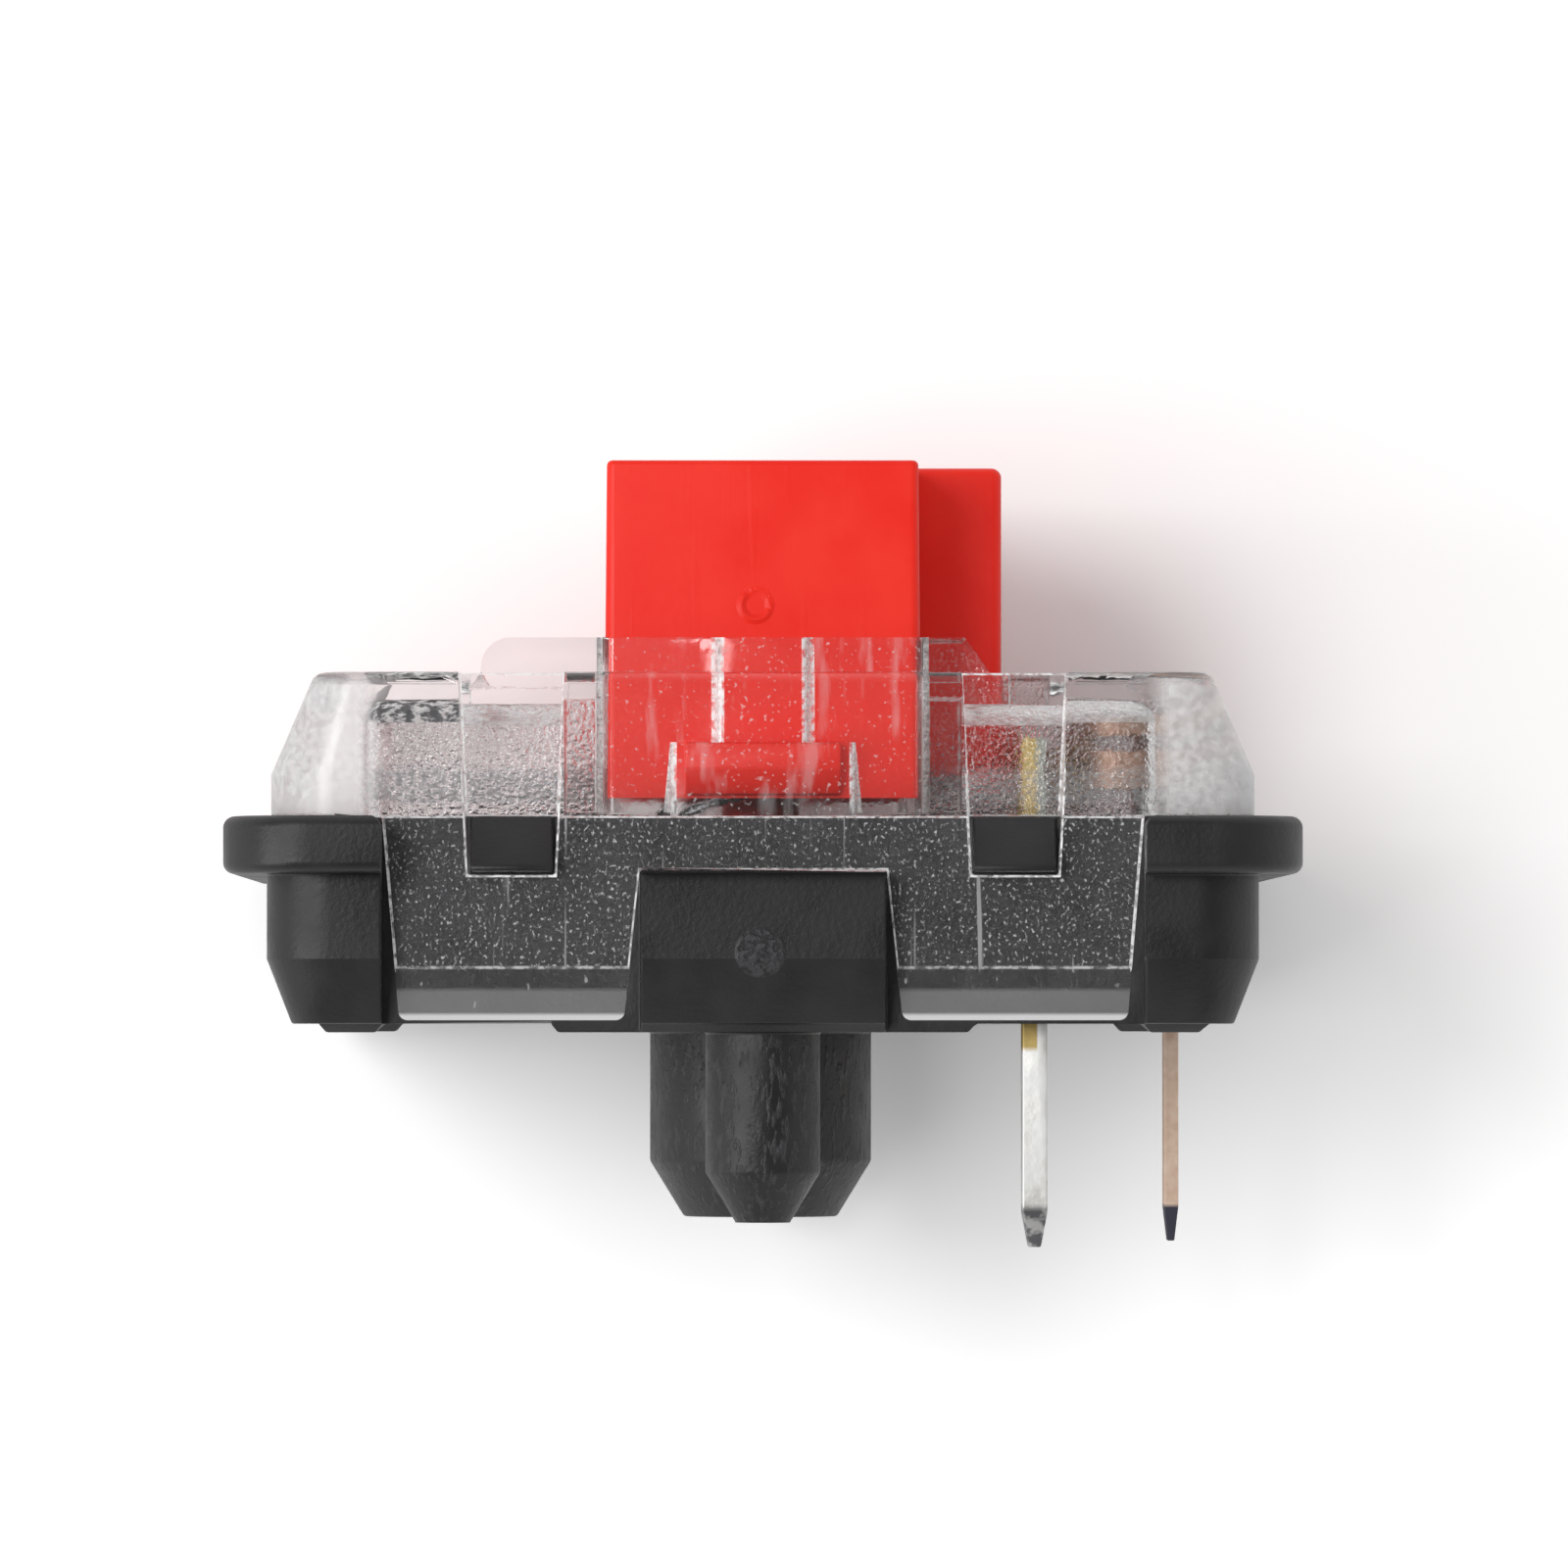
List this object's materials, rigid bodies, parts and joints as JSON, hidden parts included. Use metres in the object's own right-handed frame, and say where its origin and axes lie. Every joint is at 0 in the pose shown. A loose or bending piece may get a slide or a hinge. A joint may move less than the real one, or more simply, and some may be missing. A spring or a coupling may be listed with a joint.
{
  "type": "mechanical keyboard switch",
  "caption": "Low-profile mechanical keyboard switch with a clear cover, a black base with solder tails and a red sliding stem.",
  "frame": {"origin": "on the axis of the centre post, in the plane where the switch seats on its circuit board", "axes": "+Z along the stem's axis towards the keycap, Y through the two side posts, +X towards the side of the solder tails"},
  "size_m": [0.015, 0.015, 0.011],
  "materials": {
    "black_nylon": "satin",
    "clear_polycarbonate": "gloss",
    "red_acetal": "satin",
    "spring_steel": "satin",
    "tinned_brass": "satin",
    "gold_alloy": "gloss",
    "phosphor_bronze": "satin"
  },
  "bodies": {
    "base": {"lower_housing": "black_nylon", "upper_housing": "clear_polycarbonate", "fixed_contact": "tinned_brass", "fixed_contact_point": "gold_alloy", "moving_contact": "phosphor_bronze", "return_spring": "spring_steel"},
    "slider": {"stem": "red_acetal"},
    "contact_tip": {"moving_contact_point": "gold_alloy"}
  },
  "joints": [
    {"name": "stem_travel", "type": "slide", "parent": "base", "child": "slider", "axis": [0, 0, -1], "range_m": [0, 0.003], "stiffness_N_per_m": 100, "springref_m": -0.0034, "deforming": ["return_spring", "moving_contact"]},
    {"name": "leaf_flex", "type": "hinge", "parent": "base", "child": "contact_tip", "pos_m": [0.00462, -0.0051, 0.0039], "axis": [0, 0, 1], "range_deg": [0, 3.8], "deforming": ["moving_contact"]}
  ],
  "couplings": [
    {"joint": "leaf_flex", "follows": "stem_travel", "rad_per_m": 22.1}
  ]
}
